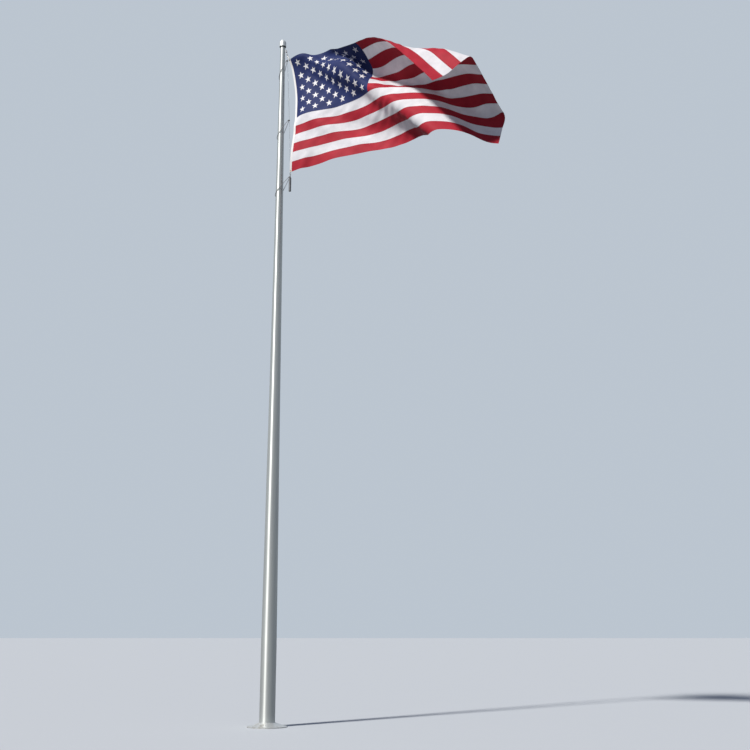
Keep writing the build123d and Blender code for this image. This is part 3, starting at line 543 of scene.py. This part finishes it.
def cloth_piece(name, places, faces, materials):
    """A piece on the cloth, from points as out, down and lift, with out and down in metres as its UV map."""
    mesh = bpy.data.meshes.new(name)
    points = cloth(places[:, 0], places[:, 1], places[:, 2])
    mesh.from_pydata([tuple(point) for point in points], [], [tuple(face) for face in faces])
    uv_map = mesh.uv_layers.new(name="flat_cloth")
    corners = np.empty(len(mesh.loops), dtype=np.int32)
    mesh.loops.foreach_get("vertex_index", corners)
    uv_map.data.foreach_set("uv", places[:, :2].astype(np.float32)[corners].ravel())
    for material in materials:
        mesh.materials.append(material)
    mesh.polygons.foreach_set("use_smooth", [True] * len(mesh.polygons))
    piece = bpy.data.objects.new(name, mesh)
    bpy.context.collection.objects.link(piece)
    return piece


def grid_faces(columns, rows):
    """Faces over a grid of points, seen from the front of the cloth."""
    return [(i * rows + j, i * rows + j + 1, (i + 1) * rows + j + 1, (i + 1) * rows + j)
            for i in range(columns - 1) for j in range(rows - 1)]


def flat_measure(nodes, links):
    """The distance out from the hoist and down from the top of the flat cloth."""
    place = nodes.new("ShaderNodeUVMap")
    place.uv_map = "flat_cloth"
    parts = nodes.new("ShaderNodeSeparateXYZ")
    links.new(place.outputs["UV"], parts.inputs["Vector"])
    return place.outputs["UV"], parts.outputs["X"], parts.outputs["Y"]


def arithmetic(nodes, links, operation, *values):
    """One step of arithmetic on node values or plain numbers."""
    step = nodes.new("ShaderNodeMath")
    step.operation = operation
    for number, value in enumerate(values):
        if isinstance(value, (int, float)):
            step.inputs[number].default_value = value
        else:
            links.new(value, step.inputs[number])
    return step.outputs["Value"]


def near(nodes, links, distance, width):
    """One where a distance is under a width, falling softly to nothing beyond it."""
    return spread(nodes, links, distance, 1.0, 0.0, width * 0.7, width * 1.3)


def stitches(work, along, a_metre, share):
    """One on the threads of a row of stitches and nothing between them."""
    return work("LESS_THAN", work("FRACT", work("MULTIPLY", along, a_metre)), share)


def woven(work, out, down, threads):
    """The crossing of two sets of threads, as a height."""
    return work("MULTIPLY", work("SINE", work("MULTIPLY", out, threads)),
                work("SINE", work("MULTIPLY", down, threads)))


def bunting(name, colour, through, edges):
    """Nylon bunting: a fine plain weave that light shines through, doubled and stitched along its edges."""
    hem_width, row_inset, thread_width, weave_threads = 0.008, 0.0055, 0.0009, 5200.0
    material, nodes, links, shader = metal(name, colour, 0.62, 0.0)
    work = partial(arithmetic, nodes, links)
    flat, out, down = flat_measure(nodes, links)
    distance = edges(work, out, down)
    doubled = near(nodes, links, distance, hem_width)
    row = near(nodes, links, work("ABSOLUTE", work("SUBTRACT", distance, row_inset)), thread_width)
    thread = work("MULTIPLY", row, stitches(work, work("ADD", out, down), 280.0, 0.7))
    fade = nodes.new("ShaderNodeTexNoise")
    fade.inputs["Scale"].default_value = 5.0
    fade.inputs["Detail"].default_value = 5.0
    links.new(flat, fade.inputs["Vector"])
    dark = tuple(0.86 * part for part in colour)
    light = tuple(min(0.9, 1.06 * part + 0.004) for part in colour)
    mixing = nodes.new("ShaderNodeMix")
    mixing.data_type = "RGBA"
    links.new(work("MULTIPLY", doubled, 0.35), mixing.inputs["Factor"])
    links.new(tint(nodes, links, fade.outputs["Fac"], dark, light), mixing.inputs["A"])
    mixing.inputs["B"].default_value = (*(0.7 * part for part in colour), 1)
    links.new(mixing.outputs["Result"], shader.inputs["Base Color"])
    pucker = nodes.new("ShaderNodeTexNoise")
    pucker.inputs["Scale"].default_value = 22.0
    pucker.inputs["Detail"].default_value = 4.0
    links.new(flat, pucker.inputs["Vector"])
    height = work("MULTIPLY", thread, 0.3)
    for source, share in ((doubled, 0.25), (woven(work, out, down, weave_threads), 0.02),
                          (pucker.outputs["Fac"], 0.9)):
        height = work("MULTIPLY_ADD", source, share, height)
    relief(nodes, links, shader, height, 0.004, 0.5)
    shader.inputs["Specular IOR Level"].default_value = 0.12
    glow = nodes.new("ShaderNodeBsdfTranslucent")
    links.new(mixing.outputs["Result"], glow.inputs["Color"])
    blend = nodes.new("ShaderNodeMixShader")
    single = work("SUBTRACT", 1.0, work("MULTIPLY", doubled, 0.4))
    links.new(work("MULTIPLY", single, through), blend.inputs["Fac"])
    links.new(shader.outputs["BSDF"], blend.inputs[1])
    links.new(glow.outputs["BSDF"], blend.inputs[2])
    links.new(blend.outputs["Shader"], nodes["Material Output"].inputs["Surface"])
    return material


def stripe_edges(work, out, down):
    """How far a point of a stripe is from the nearest seam or hem."""
    share = work("FRACT", work("DIVIDE", down, stripe_height))
    from_middle = work("ABSOLUTE", work("SUBTRACT", share, 0.5))
    seam = work("MULTIPLY", work("SUBTRACT", 0.5, from_middle), stripe_height)
    return work("MINIMUM", seam, work("SUBTRACT", flag_fly, out))


def canton_edges(work, out, down):
    """How far a point of the canton is from its seams."""
    side, foot = work("SUBTRACT", canton_fly, out), work("SUBTRACT", canton_hoist, down)
    return work("MINIMUM", side, work("MINIMUM", foot, down))


flag_red = bunting("flag_red", (0.40, 0.020, 0.036), 0.04, stripe_edges)
flag_white = bunting("flag_white", (0.83, 0.82, 0.86), 0.20, stripe_edges)
flag_blue = bunting("flag_blue", (0.022, 0.034, 0.125), 0.05, canton_edges)

canton_columns, fly_columns, rows_a_stripe = 88, 132, 8
outs = np.concatenate([np.linspace(0, canton_fly, canton_columns + 1),
                       np.linspace(canton_fly, flag_fly, fly_columns + 1)[1:]])
downs = np.linspace(0, flag_hoist, stripe_count * rows_a_stripe + 1)
grid_out, grid_down = np.meshgrid(outs, downs, indexing="ij")
flag_places = np.stack([grid_out, grid_down, np.zeros_like(grid_out)], -1).reshape(-1, 3)
flag = cloth_piece("flag", flag_places, grid_faces(len(outs), len(downs)), (flag_red, flag_white, flag_blue))
slots = []
for i in range(len(outs) - 1):
    for j in range(len(downs) - 1):
        number = j // rows_a_stripe
        slots.append(2 if i < canton_columns and number < canton_stripes else number % 2)
flag.data.polygons.foreach_set("material_index", slots)
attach(flag, "truck")
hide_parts("flag_red_stripes", "flag_white_stripes", "flag_canton")


# Stars: fifty white ones, embroidered on both faces of the canton in satin stitch.
star_finish, nodes, links, shader = metal("star_finish", (0.80, 0.79, 0.80), 0.5, 0.0)
work = partial(arithmetic, nodes, links)
satin_threads = 4200.0
satin = work("SINE", work("MULTIPLY", flat_measure(nodes, links)[1], satin_threads))
relief(nodes, links, shader, satin, 0.0004, 0.5)
links.new(tint(nodes, links, satin, (0.72, 0.71, 0.73), (0.86, 0.85, 0.86), -0.5, 0.9),
          shader.inputs["Base Color"])
shader.inputs["Sheen Weight"].default_value = 0.2
star_radius, star_waist = 0.0708, 0.027
star_lift, star_rim_lift = 0.0009, 0.0003
star_rings, star_spokes = 4, 20


def star_corner(spoke):
    """A point of a star's outline: a tip, a waist, or half-way between the two."""
    if spoke % 2:
        before, after = star_corner(spoke - 1), star_corner(spoke + 1)
        return (before[0] + after[0]) / 2, (before[1] + after[1]) / 2
    reach = star_waist if spoke % 4 else star_radius
    turn = 2 * math.pi * spoke / star_spokes
    return reach * math.sin(turn), -reach * math.cos(turn)


star_outline = [star_corner(spoke) for spoke in range(star_spokes)]
star_middles = [(column * canton_fly / 12, row * canton_hoist / 10)
                for row in range(1, 10) for column in range(1, 12) if (row + column) % 2 == 0]
star_faces, star_places = [], []
for middle_out, middle_down in star_middles:
    for side in (1, -1):
        first = len(star_places)
        star_places.append((middle_out, middle_down, star_lift * side))
        for ring in range(1, star_rings + 1):
            share = ring / star_rings
            lift = star_rim_lift if ring == star_rings else star_lift
            star_places += [(middle_out + corner[0] * share, middle_down + corner[1] * share, lift * side)
                            for corner in star_outline]
        for spoke in range(star_spokes):
            after = (spoke + 1) % star_spokes
            tip = (first, first + 1 + after, first + 1 + spoke)
            star_faces.append(tip if side > 0 else tip[::-1])
            for ring in range(star_rings - 1):
                low, high = first + 1 + ring * star_spokes, first + 1 + (ring + 1) * star_spokes
                face = (low + spoke, low + after, high + after, high + spoke)
                star_faces.append(face if side > 0 else face[::-1])
stars = cloth_piece("stars", np.array(star_places), star_faces, (star_finish,))
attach(stars, "truck")


# Heading: the canvas strip that binds the hoist, folded over it and stitched through in two rows.
heading_finish, nodes, links, shader = metal("heading_finish", (0.84, 0.83, 0.82), 0.75, 0.0)
work = partial(arithmetic, nodes, links)
heading_width = 0.038
row_offset, row_width, canvas_threads = 0.0145, 0.001, 3600.0
out, down = flat_measure(nodes, links)[1:]
wear = grain(nodes, links, 30.0, 6)
links.new(tint(nodes, links, wear, (0.78, 0.77, 0.76), (0.88, 0.87, 0.86)), shader.inputs["Base Color"])
from_middle = work("ABSOLUTE", work("ADD", out, heading_width / 2))
row = near(nodes, links, work("ABSOLUTE", work("SUBTRACT", from_middle, row_offset)), row_width)
thread = work("MULTIPLY", row, stitches(work, down, 250.0, 0.65))
canvas = woven(work, out, down, canvas_threads)
relief(nodes, links, shader, work("MULTIPLY_ADD", canvas, 0.2, thread), 0.0008, 0.7)

# Its mesh is finer by the grommets, has a round hole at each, and is pinched together along its rim.
grommet_inset, grommet_hole, grommet_zone = 0.02, 0.0115, 0.044
heading_lift, rim_lift, rim = 0.0015, 0.0006, 0.0012
near_grommet = np.arange(0, grommet_zone + 0.0001, 0.002)
heading_downs = np.concatenate([near_grommet, np.linspace(grommet_zone, flag_hoist - grommet_zone, 210)[1:-1],
                                flag_hoist - near_grommet[::-1]])
heading_outs = np.linspace(-heading_width, 0.0, 20)
columns, rows = len(heading_outs), len(heading_downs)
places, faces = [], []
for side in (1, -1):
    first = len(places)
    for out in heading_outs:
        for down in heading_downs:
            inside = heading_outs[0] + rim < out < -rim and rim < down < flag_hoist - rim
            places.append((out, down, (heading_lift if inside else rim_lift) * side))
    for face in grid_faces(columns, rows):
        middle = np.mean([places[first + corner][:2] for corner in face], axis=0)
        if min(math.hypot(middle[0] + heading_width / 2, middle[1] - down)
               for down in (grommet_inset, flag_hoist - grommet_inset)) < grommet_hole:
            continue
        face = tuple(first + corner for corner in face)
        faces.append(face if side > 0 else face[::-1])
rims = [(i * rows, (i + 1) * rows) for i in range(columns - 1)]
rims += [((columns - 1) * rows + j, (columns - 1) * rows + j + 1) for j in range(rows - 1)]
rims += [((i + 2) * rows - 1, (i + 1) * rows - 1) for i in range(columns - 1)]
rims += [(j + 1, j) for j in range(rows - 1)]
faces += [(b, a, a + columns * rows, b + columns * rows) for a, b in rims]
heading = cloth_piece("heading", np.array(places), faces, (heading_finish,))
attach(heading, "truck")
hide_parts("flag_heading")


# Studio: a plain floor, a pale background, a sun high on the left behind the camera and a weak blue sky.
# The floor is pale to the camera and dark to other rays, so that little light comes up from it.
floor = bpy.data.objects.new("floor", bpy.data.meshes.new("floor"))
floor.data.from_pydata([(-120, -60, 0), (120, -60, 0), (120, 160, 0), (-120, 160, 0)], [], [(0, 1, 2, 3)])
bpy.context.collection.objects.link(floor)
floor_dark, floor_pale = (0.12, 0.125, 0.13), (0.52, 0.55, 0.58)
floor_finish, nodes, links, shader = metal("floor_finish", floor_dark, 0.9, 0.0)
rays = nodes.new("ShaderNodeLightPath")
pale = nodes.new("ShaderNodeMix")
pale.data_type = "RGBA"
pale.inputs["A"].default_value = (*floor_dark, 1)
pale.inputs["B"].default_value = (*floor_pale, 1)
links.new(rays.outputs["Is Camera Ray"], pale.inputs["Factor"])
links.new(pale.outputs["Result"], shader.inputs["Base Color"])
floor.data.materials.append(floor_finish)

key_azimuth, key_elevation = math.radians(-138.0), math.radians(42.0)
key_direction = Vector((math.cos(key_azimuth) * math.cos(key_elevation),
                        math.sin(key_azimuth) * math.cos(key_elevation), math.sin(key_elevation)))
key = bpy.data.objects.new("key", bpy.data.lights.new("key", "SUN"))
key.data.energy = 4.5
key.data.angle = math.radians(5.0)
key.data.color = (1.0, 0.97, 0.93)
key.location = (-8, -4, 16)
key.rotation_euler = key_direction.to_track_quat("Z", "Y").to_euler()
bpy.context.collection.objects.link(key)

# The world is the backdrop where the camera looks straight, through or by a reflection, and else the sky.
world = bpy.data.worlds.new("world")
bpy.context.scene.world = world
world.use_nodes = True
nodes, links = world.node_tree.nodes, world.node_tree.links
sky = nodes["Background"]
sky.inputs["Color"].default_value = (0.58, 0.68, 1.0, 1)
sky.inputs["Strength"].default_value = 0.22
backdrop = nodes.new("ShaderNodeBackground")
backdrop.inputs["Color"].default_value = (0.50, 0.56, 0.63, 1)
rays = nodes.new("ShaderNodeLightPath")
looked_at = rays.outputs["Is Camera Ray"]
for ray in ("Is Transmission Ray", "Is Glossy Ray"):
    looked_at = arithmetic(nodes, links, "MAXIMUM", looked_at, rays.outputs[ray])
chooser = nodes.new("ShaderNodeMixShader")
links.new(looked_at, chooser.inputs["Fac"])
links.new(sky.outputs["Background"], chooser.inputs[1])
links.new(backdrop.outputs["Background"], chooser.inputs[2])
links.new(chooser.outputs["Shader"], nodes["World Output"].inputs["Surface"])

bpy.context.scene.view_settings.view_transform = "Standard"
